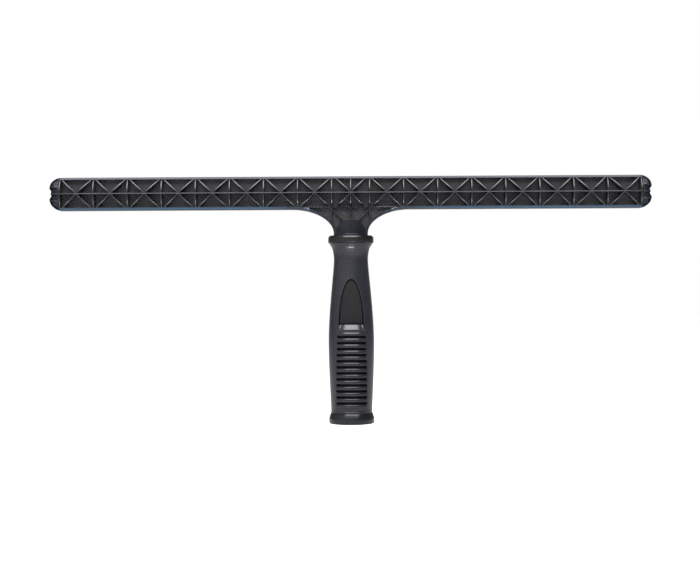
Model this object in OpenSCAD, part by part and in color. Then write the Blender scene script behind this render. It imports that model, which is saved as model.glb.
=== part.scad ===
// Window washer T-bar: a ribbed crossbar that carries a washing sleeve, on a moulded handle
// with a soft finger grip. The handle stands on the origin and points along +Z, and the
// crossbar lies along X. The front faces -Y, and the back is the same as the front.

/* [Crossbar] */
// Length of the crossbar over both end tips
bar_length = 450; // [250:5:550]
// Height of the crossbar, seen from the front
bar_height = 24.7; // [20:0.1:30]
// Thickness of the crossbar from front to back at its middle
bar_depth = 19; // [15:0.5:24]
// Thickness of the crossbar along its top and bottom edges
bar_edge_depth = 7.5; // [5:0.5:10]
// Thickness of the wall between the front and back pockets
web_thickness = 2.4; // [1.6:0.1:4]
// Thickness of the top and bottom flanges
flange_thickness = 1.8; // [1.4:0.1:3]
// Thickness of the stiffening ribs
rib_thickness = 1.3; // [1:0.1:2]

/* [Rib pattern] */
// Nominal length of one crossed cell
cell_length = 25.5; // [18:0.5:36]
// Length of the middle cell, over the handle
centre_cell_length = 28.3; // [20:0.1:36]
// Distance from a cell's upright to where its diagonal meets the flange
diagonal_inset = 1.8; // [0.5:0.1:4]

/* [End tips] */
// How far a tip stands out past the end wall of the crossbar
tip_length = 7.2; // [4:0.1:9]
// Length over which the ends of the crossbar are rounded
end_rounding = 8.5; // [7:0.1:14]
// Thickness of a tip from front to back at its far end
tip_depth = 11; // [6:0.5:14]
// Distance of each lobe of the tip from the middle line
lobe_offset = 4.3; // [3:0.1:6]
// Depth of the notch between the two lobes
notch_depth = 1.9; // [1:0.1:3]
// How far the tooth stands up inside the notch
tooth_height = 0.8; // [0.2:0.1:1]
// Distance of the outer fins from the middle line
fin_offset = 5.2; // [3:0.1:8]
// Depth of the tip's body below its fins
fin_depth = 1.6; // [0.8:0.1:3]
// Length of the tongue that carries the tip
tongue_length = 3; // [2:0.1:3.5]
// Height of the tongue
tongue_height = 10; // [6:0.5:12]

/* [Gusset and neck] */
// Height of the curved gusset under the crossbar
gusset_drop = 18.2; // [12:0.1:30]
// Sideways reach of the gusset from the neck
gusset_reach = 31.3; // [16:0.1:45]
// Thickness of the gusset from front to back
gusset_depth = 9; // [6:0.5:12]
// Thickness of the gusset's curved edge
gusset_edge = 2.2; // [1.4:0.1:3]
// Diameter of the neck
neck_diameter = 25.5; // [20:0.1:26]
// Height of the bare neck between the collar and the gusset
neck_step = 1.5; // [1:0.1:5]
// Radius of the dome over the neck
dome_radius = 10.4; // [8:0.1:11]
// Diameter of the stem that the crossbar sends down into the handle
stem_diameter = 14.8; // [12:0.1:15.6]
// Length of the stem
stem_length = 40; // [26:1:50]
// Diameter of the hollow in the stem
stem_hollow = 9.6; // [6:0.1:10]

/* [Grip] */
// Height of the grip, from its foot to the collar
grip_length = 135.1; // [128:0.1:160]
// Radius of the flared foot
butt_radius = 17; // [16:0.1:20]
// Radius of the narrow place above the foot
dip_radius = 15.4; // [14.6:0.1:15.8]
// Height at which the foot starts to narrow
foot_flare_start = 3; // [2.4:0.1:4]
// Height of the narrow place above the foot
dip_height = 10.4; // [9.5:0.1:12]
// Radius of the swell in the palm
swell_radius = 17; // [16:0.1:19]
// Height at which the swell ends
swell_height = 60.5; // [55:0.5:65]
// Radius of the waist below the collar
waist_radius = 12.8; // [12.2:0.1:13.5]
// Radius of the grip where it meets the collar
flare_radius = 16.3; // [15.2:0.1:16.6]
// Height of the flare between the waist and the collar
flare_height = 12.6; // [7:0.1:16]
// Thickness of the soft sleeve over the hard core
skin_thickness = 2.6; // [2.2:0.1:2.8]

/* [Finger grooves] */
// Height of the lowest groove
groove_start = 16; // [14:0.1:22]
// Distance from one groove to the next
groove_pitch = 4.48; // [3.5:0.01:7]
// Height of one groove
groove_height = 1.9; // [1:0.1:2.5]
// Depth of one groove
groove_depth = 1.5; // [0.6:0.1:1.8]
// Width of the grooves across the grip
groove_width = 23.1; // [16:0.1:25]

/* [Label plates] */
// Height of the arched plate
label_height = 32.4; // [20:0.1:40]
// Width of the arched plate at its foot
label_width = 16.8; // [10:0.1:18]
// Thickness of the plate
label_thickness = 1.2; // [0.8:0.1:1.6]
// Distance of the plate's face from the middle of the handle
label_plane = 12.5; // [12:0.1:12.8]
// Open groove round the sides and top of the plate
label_gap = 0.8; // [0.4:0.1:1.2]
// Gap under the foot of the plate
label_foot_gap = 0.3; // [0.1:0.1:1]
// Distance from the top of the plate to the collar
label_to_collar = 28; // [24:0.1:34]
// Slope of the ledge below the plate, as its rise over its depth
ledge_slope = 0.75; // [0.4:0.05:1.2]

/* [Collar, foot ring and pin] */
// Radius of the collar
collar_radius = 17; // [16.8:0.1:19]
// Height of the collar
collar_height = 5.5; // [4:0.1:9]
// Rounding of the collar's upper edge
collar_rounding = 1.3; // [0.5:0.1:2]
// Height of the hard ring round the foot of the handle
foot_ring_height = 7.9; // [6:0.1:9]
// Rounding of the foot's lower edge
foot_rounding = 1.6; // [0.6:0.1:2.4]
// Diameter of the cross pin that holds the stem
pin_diameter = 4; // [3:0.1:5]
// Distance of the cross pin below the collar
pin_drop = 17; // [12:0.5:20]

/* [Pole socket] */
// Diameter of the socket for an extension pole
socket_diameter = 21; // [18:0.1:21.6]
// Depth of the socket
socket_depth = 60; // [40:1:75]
// Lead-in at the mouth of the socket
socket_lead = 1; // [0.4:0.1:1.4]
// Thickness of the wall that stops the pole
stop_thickness = 3; // [2:0.1:5]

/* [Fits] */
// Clearance between hard parts that plug together
fit_gap = 0.1; // [0.05:0.01:0.2]
// Clearance between the soft sleeve and what it grips
sleeve_gap = 0.05; // [0.02:0.01:0.15]

/* [Hidden] */
$fn = 96;
// Far enough to cut right through the part
past = 60;
// Steps along each curved stretch of an outline
curve_steps = 14;
// How far the swell and the waist pull the curve between them before it turns
swell_pull = 25;
waist_pull = 8;

// Heights from the foot to the top of the crossbar
collar_top = grip_length + collar_height;
neck_top = collar_top + neck_step;
bar_bottom = neck_top + gusset_drop;
bar_middle = bar_bottom + bar_height / 2;
bar_top = bar_bottom + bar_height;
stem_bottom = grip_length - stem_length;
socket_end = socket_depth + stop_thickness;

// The cells fill the crossbar between its two end walls
end_wall = bar_length / 2 - tip_length - rib_thickness / 2;
side_cells = round((end_wall - centre_cell_length / 2) / cell_length);
cell_pitch = (end_wall - centre_cell_length / 2) / side_cells;
centre_inset = diagonal_inset * 2;

// Seen from the front and from above, the rounded ends are parts of two ellipses. The first
// passes through the lobes, and the second through the far edges of the tip.
round_start = bar_length / 2 - end_rounding;
front_reach = end_rounding / sqrt(1 - pow(lobe_offset / (bar_height / 2), 2));
plan_reach = end_rounding / sqrt(1 - pow(tip_depth / bar_depth, 2));

neck_radius = neck_diameter / 2;
// The arched block is a little deeper than it is wide, so its two curves cross cleanly
dome_bulge = dome_radius + 0.4;
stem_radius = stem_diameter / 2;
core_bore = stem_radius + fit_gap;
waist_height = grip_length - flare_height;
label_top = grip_length - label_to_collar;
label_bottom = label_top - label_height;
window_bottom = label_bottom - label_foot_gap;
window_height = label_height + label_gap + label_foot_gap;
label_seat = label_plane - label_thickness;
ledge_foot = window_bottom - ledge_slope * (swell_radius - label_plane);
pin_height = grip_length - pin_drop;
groove_count = floor((ledge_foot - groove_pitch - groove_start) / groove_pitch) + 1;

// ---- Curves ----

function steps(first = 0) = [for (i = [first:curve_steps]) i / curve_steps];

function bezier(a, b, c, d, t) =
    pow(1 - t, 3) * a + 3 * pow(1 - t, 2) * t * b + 3 * (1 - t) * t * t * c + pow(t, 3) * d;

// Outline of the handle as [radius, height], from the foot up, in five smooth stretches
function foot_edge() = [for (t = steps())
    [butt_radius - foot_rounding * (1 - sin(90 * t)), foot_rounding * (1 - cos(90 * t))]];

function foot_to_dip() = [for (t = steps())
    [butt_radius + (dip_radius - butt_radius) * (1 - cos(180 * t)) / 2,
     foot_flare_start + (dip_height - foot_flare_start) * t]];

function dip_to_swell() = [for (t = steps(1))
    [dip_radius + (swell_radius - dip_radius) * sin(90 * t),
     dip_height + (swell_height - dip_height) * t]];

function swell_to_waist() = [for (t = steps(1))
    [bezier(swell_radius, swell_radius, waist_radius, waist_radius, t),
     bezier(swell_height, swell_height + swell_pull, waist_height - waist_pull, waist_height, t)]];

// Most of a quarter of an ellipse, which turns outwards just below the collar
flare_turn = 76;

function waist_to_collar() = [for (t = steps(1))
    [waist_radius + (flare_radius - waist_radius) * (1 - cos(flare_turn * t)) / (1 - cos(flare_turn)),
     waist_height + flare_height * sin(flare_turn * t) / sin(flare_turn)]];

upper_outline = concat(dip_to_swell(), swell_to_waist(), waist_to_collar());
grip_outline = concat(foot_to_dip(), upper_outline);

// Radius of the grip at any height
grip_table = [for (p = grip_outline) [p[1], p[0]]];
function grip_radius(height) = lookup(height, grip_table);

core_foot_radius = dip_radius - skin_thickness;

// Outline of the hard core, one skin inside the grip, let out by a clearance
function core_outline(gap) = concat(
    [[core_foot_radius + gap, 0], [core_foot_radius + gap, dip_height]],
    [for (p = upper_outline) [p[0] - skin_thickness + gap, p[1]]]);

// Quarter of a rounded end, from its tip to the edge at half the given width
function end_curve(width, reach) = [for (t = steps())
    [round_start + reach * cos(90 * t), width / 2 * sin(90 * t)]];

// One side of the gusset's edge, from the neck out to the crossbar
function gusset_curve(inset) = [for (t = steps())
    [neck_radius + gusset_reach - (gusset_reach + inset) * cos(90 * t),
     neck_top + (gusset_drop + inset) * sin(90 * t)]];

function mirrored(points) = [for (i = [len(points) - 1:-1:0]) [-points[i][0], points[i][1]]];

// ---- Shared shapes ----

// Turns a drawing in x and z into a slab of the given thickness about the middle plane
module slab(thickness) {
    rotate([90, 0, 0]) linear_extrude(height = thickness, center = true) children();
}

// Straight rib between two points
module rib(from, to, thickness = rib_thickness) {
    run = to - from;
    translate(from) rotate(atan2(run[1], run[0]))
        translate([0, -thickness / 2]) square([norm(run), thickness]);
}

// One of the two round faces of the crossbar's section, as the cylinder that it is part of
module section_arc(depth, side) {
    bulge = (depth - bar_edge_depth) / 2;
    radius = (pow(bar_height / 2, 2) + pow(bulge, 2)) / (2 * bulge);
    translate([0, side * (radius - depth / 2), bar_middle]) rotate([0, 90, 0])
        cylinder(h = bar_length + 2, r = radius, center = true);
}

// The crossbar's oval body, with both ends rounded as seen from above
module oval_section(depth) {
    intersection() {
        section_arc(depth, 1);
        section_arc(depth, -1);
        translate([0, 0, bar_bottom]) linear_extrude(height = bar_height)
            round_ended(depth, plan_reach);
    }
}

// Both ends of the crossbar rounded, in a drawing about its middle
module round_ended(width, reach) {
    quarter = end_curve(width, reach);
    upper = concat(quarter, mirrored(quarter));
    polygon(concat(upper, [for (i = [len(upper) - 1:-1:0]) [upper[i][0], -upper[i][1]]]));
}

module bar_outline() {
    translate([0, bar_middle]) round_ended(bar_height, front_reach);
}

module arch(height, half_width) {
    quarter = [for (t = steps()) [half_width * cos(90 * t), height * sin(90 * t)]];
    polygon(concat(quarter, mirrored(quarter)));
}

// ---- Crossbar ----

module crossed_cell(start, length, inset) {
    for (way = [-1, 1]) {
        rib([start + inset, bar_middle - way * (bar_height / 2 - flange_thickness)],
            [start + length - inset, bar_middle + way * (bar_height / 2 - flange_thickness)]);
    }
}

module bar_lattice() {
    intersection() {
        bar_outline();
        union() {
            for (z = [bar_bottom, bar_top - flange_thickness]) {
                translate([-bar_length / 2, z]) square([bar_length, flange_thickness]);
            }
            rib([-end_wall, bar_middle], [end_wall, bar_middle]);
            rib([0, bar_bottom], [0, bar_top]);
            crossed_cell(-centre_cell_length / 2, centre_cell_length, centre_inset);
            for (side = [-1, 1], i = [0:side_cells]) {
                x = side * (centre_cell_length / 2 + i * cell_pitch);
                rib([x, bar_bottom], [x, bar_top]);
            }
            for (i = [0:side_cells - 1]) {
                start = centre_cell_length / 2 + i * cell_pitch;
                crossed_cell(start, cell_pitch, diagonal_inset);
                crossed_cell(-start - cell_pitch, cell_pitch, diagonal_inset);
            }
        }
    }
}

module gusset_outline(inset) {
    curve = gusset_curve(inset);
    polygon(concat([[neck_radius - inset, collar_top]], curve,
        [[neck_radius + gusset_reach, bar_bottom + flange_thickness]],
        [[-neck_radius - gusset_reach, bar_bottom + flange_thickness]],
        mirrored(curve), [[-neck_radius + inset, collar_top]]));
}

module gusset_lattice() {
    difference() {
        gusset_outline(0);
        gusset_outline(gusset_edge);
    }
    intersection() {
        gusset_outline(0);
        union() {
            rib([0, neck_top], [0, bar_bottom]);
            for (side = [-1, 1]) {
                corner = [side * centre_cell_length / 2, bar_bottom];
                rib([corner[0], neck_top], corner);
                rib([corner[0] - side * gusset_drop, neck_top], corner);
            }
        }
    }
}

// Cuts the crossbar off at its end walls, where the tips take over
module between_end_walls() {
    reach = end_wall + rib_thickness / 2;
    translate([-reach, -past, 0]) cube([2 * reach, 2 * past, bar_top + past]);
}

module half_disc(radius) {
    intersection() {
        circle(r = radius);
        translate([-radius - 1, 0]) square([2 * radius + 2, radius + 1]);
    }
}

// Arched block on top of the neck, whose face goes round the neck's axis, with a low rib over it
module dome() {
    translate([0, 0, neck_top]) {
        intersection() {
            translate([0, 0, -1]) cylinder(h = dome_radius + 2, r = dome_bulge);
            rotate([90, 0, 0]) linear_extrude(height = 2 * dome_bulge + 2, center = true)
                half_disc(dome_radius);
        }
        rib_reach = dome_bulge + rib_thickness / 3;
        translate([-rib_thickness / 2, -rib_reach, -1])
            cube([rib_thickness, 2 * rib_reach, dome_radius + rib_thickness / 3 + 1]);
    }
}

module tongue(gap) {
    reach = end_wall + rib_thickness / 2 + tongue_length;
    slab(web_thickness + 2 * gap)
        translate([-reach - gap, bar_middle - tongue_height / 2 - gap])
            square([2 * (reach + gap), tongue_height + 2 * gap]);
}

module pin_hole() {
    translate([0, 0, pin_height]) rotate([0, 90, 0])
        cylinder(h = 2 * past, r = pin_diameter / 2 + fit_gap / 2, center = true);
}

module crossbar() {
    color([0.11, 0.11, 0.12]) difference() {
        union() {
            intersection() {
                oval_section(bar_depth);
                between_end_walls();
                union() {
                    slab(bar_depth) bar_lattice();
                    slab(web_thickness) bar_outline();
                }
            }
            tongue(0);
            slab(gusset_depth) gusset_lattice();
            slab(web_thickness) gusset_outline(0);
            dome();
            translate([0, 0, grip_length]) cylinder(h = neck_top - grip_length, r = neck_radius);
            translate([0, 0, stem_bottom]) cylinder(h = stem_length + 1, r = stem_radius);
        }
        translate([0, 0, stem_bottom - 1])
            cylinder(h = neck_top - stem_bottom + 1, r = stem_hollow / 2);
        translate([0, 0, neck_top]) sphere(r = stem_hollow / 2);
        pin_hole();
    }
}

// ---- End tips ----

module tip_outline() {
    difference() {
        bar_outline();
        translate([bar_length / 2, bar_middle]) polygon([
            [past, past], [0, lobe_offset],
            [-notch_depth, tooth_height * 2], [tooth_height - notch_depth, 0],
            [-notch_depth, -tooth_height * 2], [0, -lobe_offset], [past, -past]
        ]);
    }
}

module end_tip() {
    inner = end_wall + rib_thickness / 2;
    color([0.16, 0.19, 0.21]) difference() {
        union() {
            intersection() {
                oval_section(bar_depth - 2 * fin_depth);
                slab(bar_depth) tip_outline();
            }
            intersection() {
                oval_section(bar_depth);
                slab(bar_depth) intersection() {
                    tip_outline();
                    for (z = [-fin_offset, 0, fin_offset]) {
                        rib([0, bar_middle + z], [bar_length, bar_middle + z]);
                    }
                }
            }
        }
        translate([-bar_length, -past, 0]) cube([bar_length + inner, 2 * past, bar_top + past]);
        tongue(fit_gap);
    }
}

module right_end_tip() {
    end_tip();
}

module left_end_tip() {
    mirror([1, 0, 0]) end_tip();
}

// ---- Handle ----

// The arched opening for a label plate, out from its seat, at the front or at the back
module label_window(side) {
    depth = past - label_seat;
    translate([0, side * (label_seat + depth / 2), window_bottom])
        slab(depth) arch(window_height, label_width / 2 + label_gap);
}

module handle_core() {
    color([0.15, 0.16, 0.16]) difference() {
        rotate_extrude() polygon(concat([[0, 0]], core_outline(0), [[0, grip_length]]));
        translate([0, 0, -1]) cylinder(h = socket_depth + 1, r = socket_diameter / 2);
        translate([0, 0, -0.01])
            cylinder(h = socket_lead, r1 = socket_diameter / 2 + socket_lead, r2 = socket_diameter / 2);
        translate([0, 0, socket_end]) cylinder(h = grip_length, r = core_bore);
        for (side = [-1, 1]) label_window(side);
        pin_hole();
    }
}

module cross_pin() {
    half_length = grip_radius(pin_height) - skin_thickness - fit_gap;
    color([0.6, 0.6, 0.62]) translate([0, 0, pin_height]) rotate([0, 90, 0])
        cylinder(h = 2 * half_length, r = pin_diameter / 2, center = true);
}

module collar_ring() {
    inner = neck_radius + fit_gap;
    color([0.13, 0.14, 0.135]) rotate_extrude() polygon(concat(
        [[inner, grip_length], [collar_radius - collar_rounding / 3, grip_length],
         [collar_radius, grip_length + collar_rounding / 3]],
        [for (t = steps())
            [collar_radius - collar_rounding * (1 - cos(90 * t)),
             collar_top - collar_rounding * (1 - sin(90 * t))]],
        [[inner, collar_top]]));
}

module foot_ring() {
    inner = core_foot_radius + fit_gap;
    color([0.12, 0.15, 0.15]) rotate_extrude() polygon(concat(
        [[inner, 0]], foot_edge(),
        [for (p = foot_to_dip()) if (p[1] < foot_ring_height) p],
        [[grip_radius(foot_ring_height), foot_ring_height], [inner, foot_ring_height]]));
}

// Grooves at the front or at the back: each has a round floor and square ends
module finger_grooves(side) {
    for (i = [0:groove_count - 1]) {
        z = groove_start + i * groove_pitch;
        difference() {
            translate([-groove_width / 2, side > 0 ? 0 : -past, z - groove_height / 2])
                cube([groove_width, past, groove_height]);
            translate([0, 0, z]) cylinder(h = groove_pitch, r = grip_radius(z) - groove_depth, center = true);
        }
    }
}

// Slopes down and out from the foot of a label window
module ledge(side) {
    reach = past - label_plane;
    half_width = label_width / 2 + label_gap;
    translate([-half_width, 0, 0]) rotate([90, 0, 90]) linear_extrude(height = 2 * half_width)
        polygon([
            [side * label_plane, window_bottom],
            [side * past, window_bottom - ledge_slope * reach],
            [side * past, window_bottom + 1],
            [side * label_plane, window_bottom + 1]
        ]);
}

module grip_sleeve() {
    inner = core_outline(sleeve_gap);
    color([0.19, 0.19, 0.22]) difference() {
        rotate_extrude() polygon(concat(
            [[core_foot_radius + sleeve_gap, foot_ring_height],
             [grip_radius(foot_ring_height), foot_ring_height]],
            [for (p = grip_outline) if (p[1] > foot_ring_height) p],
            [for (i = [len(inner) - 1:-1:1]) inner[i]]));
        for (side = [-1, 1]) {
            finger_grooves(side);
            label_window(side);
            ledge(side);
        }
    }
}

module label_plate(side) {
    color([0.2, 0.22, 0.21])
        translate([0, side * (label_seat + label_thickness / 2), label_bottom])
            slab(label_thickness) arch(label_height, label_width / 2);
}

module front_label_plate() {
    label_plate(-1);
}

module back_label_plate() {
    label_plate(1);
}

crossbar();
left_end_tip();
right_end_tip();
handle_core();
cross_pin();
collar_ring();
grip_sleeve();
foot_ring();
front_label_plate();
back_label_plate();
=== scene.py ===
import math

import bmesh
import bpy
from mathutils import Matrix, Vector


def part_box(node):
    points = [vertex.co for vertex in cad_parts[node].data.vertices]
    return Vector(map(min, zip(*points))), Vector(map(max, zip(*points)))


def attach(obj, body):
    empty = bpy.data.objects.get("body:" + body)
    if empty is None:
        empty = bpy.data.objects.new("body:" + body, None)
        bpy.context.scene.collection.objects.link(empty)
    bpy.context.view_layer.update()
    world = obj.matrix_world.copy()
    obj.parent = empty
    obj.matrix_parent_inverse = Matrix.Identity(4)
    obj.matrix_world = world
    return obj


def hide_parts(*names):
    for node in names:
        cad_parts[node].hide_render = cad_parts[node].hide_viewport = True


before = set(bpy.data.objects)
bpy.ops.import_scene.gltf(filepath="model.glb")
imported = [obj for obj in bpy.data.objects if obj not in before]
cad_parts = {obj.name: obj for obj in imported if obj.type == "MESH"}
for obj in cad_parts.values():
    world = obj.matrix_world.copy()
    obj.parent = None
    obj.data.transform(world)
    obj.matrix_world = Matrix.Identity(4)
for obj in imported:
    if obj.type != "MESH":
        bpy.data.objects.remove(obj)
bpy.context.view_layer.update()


# ---------------------------------------------------------------- view, floor and lamps
# The T-bar stands on its foot on a white sweep and is seen square from the front, at the height
# of its grip. Two soft lamps hang over it, one in front and one behind. Five low ones lie on the
# floor: a blue pair under the bar, and a pale row of three in front of it.

MM = 0.001
VIEW_DISTANCE = 1000 * MM
VIEW_HEIGHT = 96.95 * MM
VIEW_ASIDE = -0.85 * MM
VIEW_ROLL = math.radians(0.31)
SENSOR = 36.0
VIEW_WIDTH = 525.3 * MM  # how much of the part's own plane the view takes in

camera_data = bpy.data.cameras.new("view")
camera_data.sensor_width = SENSOR
camera_data.lens = SENSOR * VIEW_DISTANCE / VIEW_WIDTH
camera = bpy.data.objects.new("view", camera_data)
camera.location = (VIEW_ASIDE, -VIEW_DISTANCE, VIEW_HEIGHT)
camera.rotation_euler = (math.radians(90), VIEW_ROLL, 0)
bpy.context.collection.objects.link(camera)
bpy.context.scene.camera = camera
bpy.context.scene.view_settings.view_transform = "Standard"


def deselect_all():
    bpy.ops.object.select_all(action="DESELECT")


def add_node(tree, kind, **inputs):
    """A shader node with some of its sockets set by name."""
    node = tree.nodes.new(kind)
    for name, value in inputs.items():
        node.inputs[name.replace("_", " ")].default_value = value
    return node


def seen_or_mirrored(tree, mirrored_share):
    """Socket that is 1 where the camera looks and a share of 1 in reflections, else 0."""
    ray = tree.nodes.new("ShaderNodeLightPath")
    either = tree.nodes.new("ShaderNodeMath")
    either.operation = "MULTIPLY_ADD"
    either.inputs[1].default_value = mirrored_share
    tree.links.new(ray.outputs["Is Glossy Ray"], either.inputs[0])
    tree.links.new(ray.outputs["Is Camera Ray"], either.inputs[2])
    return either.outputs[0]


WHITE = (1, 1, 1, 1)
FLOOR_SIZE = 8
FLOOR_PAINT = (0.42, 0.42, 0.42, 1)
FLOOR_GLOW = 0.88
FLOOR_MIRRORED, SKY_MIRRORED = 0.15, 0.02
FRONT_FILL, SIDE_FILL, BACK_FILL = 0.8, 0.17, 0.5
FILL_FROM = (-0.62, -0.785, 0)
FILL_COLOUR = (0.92, 0.95, 1.0, 1)

# The floor shines by itself where the camera looks, and a little in reflections
deselect_all()
bpy.ops.mesh.primitive_plane_add(size=FLOOR_SIZE, location=(0, 0, 0))
floor = bpy.context.object
floor.name = "floor"
white_floor = bpy.data.materials.new("white_floor")
floor.data.materials.append(white_floor)
white_floor.use_nodes = True
tree = white_floor.node_tree
tree.nodes.clear()
floor_out = tree.nodes.new("ShaderNodeOutputMaterial")
paint = add_node(tree, "ShaderNodeBsdfDiffuse", Color=FLOOR_PAINT)
glow = add_node(tree, "ShaderNodeEmission", Color=WHITE, Strength=FLOOR_GLOW)
unlit = add_node(tree, "ShaderNodeEmission", Strength=0)
choose = tree.nodes.new("ShaderNodeMixShader")
both = tree.nodes.new("ShaderNodeAddShader")
tree.links.new(seen_or_mirrored(tree, FLOOR_MIRRORED), choose.inputs["Fac"])
tree.links.new(unlit.outputs[0], choose.inputs[1])
tree.links.new(glow.outputs[0], choose.inputs[2])
tree.links.new(paint.outputs[0], both.inputs[0])
tree.links.new(choose.outputs[0], both.inputs[1])
tree.links.new(both.outputs[0], floor_out.inputs["Surface"])

# The sky fills in from the front left, with a small patch behind. The camera sees it as white.
studio = bpy.data.worlds.new("studio")
studio.use_nodes = True
bpy.context.scene.world = studio
tree = studio.node_tree
tree.nodes.clear()
direction = tree.nodes.new("ShaderNodeTexCoord")


def sky_patch(towards, first, last, dim, bright):
    """Brightness that goes from dim to bright as the direction turns towards a part of the sky."""
    facing = add_node(tree, "ShaderNodeVectorMath")
    facing.operation = "DOT_PRODUCT"
    facing.inputs[1].default_value = towards
    patch = add_node(
        tree, "ShaderNodeMapRange", From_Min=first, From_Max=last, To_Min=dim, To_Max=bright
    )
    tree.links.new(direction.outputs["Generated"], facing.inputs[0])
    tree.links.new(facing.outputs["Value"], patch.inputs["Value"])
    return patch.outputs["Result"]


total = tree.nodes.new("ShaderNodeMath")
total.operation = "ADD"
fill = add_node(tree, "ShaderNodeBackground", Color=FILL_COLOUR)
white = add_node(tree, "ShaderNodeBackground", Color=WHITE, Strength=1.0)
pick = tree.nodes.new("ShaderNodeMixShader")
world_out = tree.nodes.new("ShaderNodeOutputWorld")
from_front = sky_patch(FILL_FROM, first=0.2, last=0.95, dim=SIDE_FILL, bright=FRONT_FILL)
from_back = sky_patch((0, 1, 0), first=0.8, last=0.97, dim=0, bright=BACK_FILL)
tree.links.new(from_front, total.inputs[0])
tree.links.new(from_back, total.inputs[1])
tree.links.new(total.outputs[0], fill.inputs["Strength"])
tree.links.new(seen_or_mirrored(tree, SKY_MIRRORED), pick.inputs["Fac"])
tree.links.new(fill.outputs[0], pick.inputs[1])
tree.links.new(white.outputs[0], pick.inputs[2])
tree.links.new(pick.outputs[0], world_out.inputs["Surface"])


def soft_lamp(name, place, aim, size, radiance, colour, spread=180):
    """Rectangular lamp of a given brightness, turned towards a point on the part."""
    data = bpy.data.lights.new(name, "AREA")
    data.shape = "RECTANGLE"
    data.size, data.size_y = size
    data.energy = radiance * math.pi * size[0] * size[1]
    data.color = colour
    data.spread = math.radians(spread)
    lamp = bpy.data.objects.new(name, data)
    lamp.location = place
    lamp.rotation_euler = (Vector(aim) - Vector(place)).to_track_quat("-Z", "Y").to_euler()
    lamp.visible_camera = False
    bpy.context.collection.objects.link(lamp)


soft_lamp("key", (0, -0.65, 0.99), (0, 0, 0.16), (1.30, 0.80), 10.0, (1.0, 0.97, 1.0))
soft_lamp("overhead", (0, 0.19, 1.10), (0, 0, 0.16), (1.20, 0.46), 5.0, (0.88, 0.85, 1.0))
for side in (-1, 1):
    soft_lamp(
        "under_bar",
        (side * 0.1825, -0.01, 0.002), (side * 0.1825, -0.01, 1), (0.255, 0.06),
        0.62, (0.08, 0.50, 1.0), 60,
    )
    soft_lamp(
        "low_front",
        (side * 0.22, -0.15, 0.003), (side * 0.22, 0, 0.165), (0.30, 0.10),
        0.9, (0.93, 0.94, 1.0), 50,
    )
soft_lamp(
    "low_middle",
    (0, -0.148, 0.003), (0, -0.014, 0.132), (0.13, 0.03),
    2.2, (0.9, 0.91, 1.0), 40,
)


# ---------------------------------------------------------------- crossbar
# The head is one moulding of black glass-filled nylon: an oval bar cored out from the front and
# the back to a thin middle wall, crossed ribs in every cell, and a gusset that carries it down to
# a domed neck. A hollow stem below the neck goes into the handle, where a pin locks it.

BAR_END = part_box("right_end_tip")[1].x
BAR_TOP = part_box("crossbar")[1].z
COLLAR_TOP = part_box("collar_ring")[1].z
STEM_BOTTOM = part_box("crossbar")[0].z
BAR_HEIGHT = 24.7 * MM
BAR_HALF_DEPTH = 9.5 * MM
EDGE_HALF_DEPTH = 3.75 * MM
WEB_HALF = 1.2 * MM
RIB = 1.3 * MM
RIB_CREST = 0.8 * MM
MIDDLE_LEAN, LEAN_END = 0.2 * MM, 1.3
FLANGE = 1.8 * MM
LOWER_FLANGE = 2.1 * MM
RIB_ROUNDING = 0.45 * MM
OUTER_ROUNDING = 0.7 * MM
POCKET_DRAFT = 0.3 * MM
TIP_LENGTH = 7.2 * MM
TIP_HALF_DEPTH = 5.5 * MM
END_ROUNDING = 8.5 * MM
LOBE_OFFSET = 4.3 * MM
CENTRE_CELL = 28.3 * MM
SIDE_CELLS = 8
DIAGONAL_INSET = 1.8 * MM
NECK_RADIUS = 12.75 * MM
NECK_STEP = 1.5 * MM
NECK_FOOT = COLLAR_TOP - 5.5 * MM
GUSSET_REACH = 31.3 * MM
GUSSET_HALF_DEPTH = 4.8 * MM
GUSSET_POCKET_END = 30.5 * MM
GUSSET_FLOOR = 2.6 * MM
GUSSET_EDGE = 2.0 * MM
GUSSET_STEP, GUSSET_TILT = 1.0 * MM, 1.19
EDGE_BLEND, LINE_BLEND, POCKET_BLEND = 9 * MM, 1.5 * MM, 3 * MM
CORNER_FILL = 0.7 * MM
DOME_RADIUS = 10.4 * MM
STEM_RADIUS = 7.4 * MM
STEM_HOLLOW = 4.8 * MM
CURVE_STEPS = 14
LEVEL_CUTS = 20
GUSSET_LEVEL = 1.7 * MM

NECK_TOP = COLLAR_TOP + NECK_STEP
BAR_BOTTOM = BAR_TOP - BAR_HEIGHT
BAR_MIDDLE = BAR_TOP - BAR_HEIGHT / 2
BODY_END = BAR_END - TIP_LENGTH
END_WALL = BODY_END - RIB / 2
ROUND_START = BAR_END - END_ROUNDING
FRONT_REACH = END_ROUNDING / math.sqrt(1 - (2 * LOBE_OFFSET / BAR_HEIGHT) ** 2)
PLAN_REACH = END_ROUNDING / math.sqrt(1 - (TIP_HALF_DEPTH / BAR_HALF_DEPTH) ** 2)
CELL = (END_WALL - CENTRE_CELL / 2) / SIDE_CELLS
GUSSET_LINE = BAR_BOTTOM + LOWER_FLANGE - RIB_CREST / 2 - 0.02 * MM
CREST, POCKET, PAINTED_SHADE = 0, 1, 2


def edit(piece):
    """Go into edit mode on one piece, with nothing selected."""
    deselect_all()
    bpy.context.view_layer.objects.active = piece
    piece.select_set(True)
    bpy.ops.object.mode_set(mode="EDIT")
    bpy.ops.mesh.select_mode(type="FACE")
    bpy.ops.mesh.select_all(action="DESELECT")


def leave_edit():
    bpy.ops.object.mode_set(mode="OBJECT")


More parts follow.
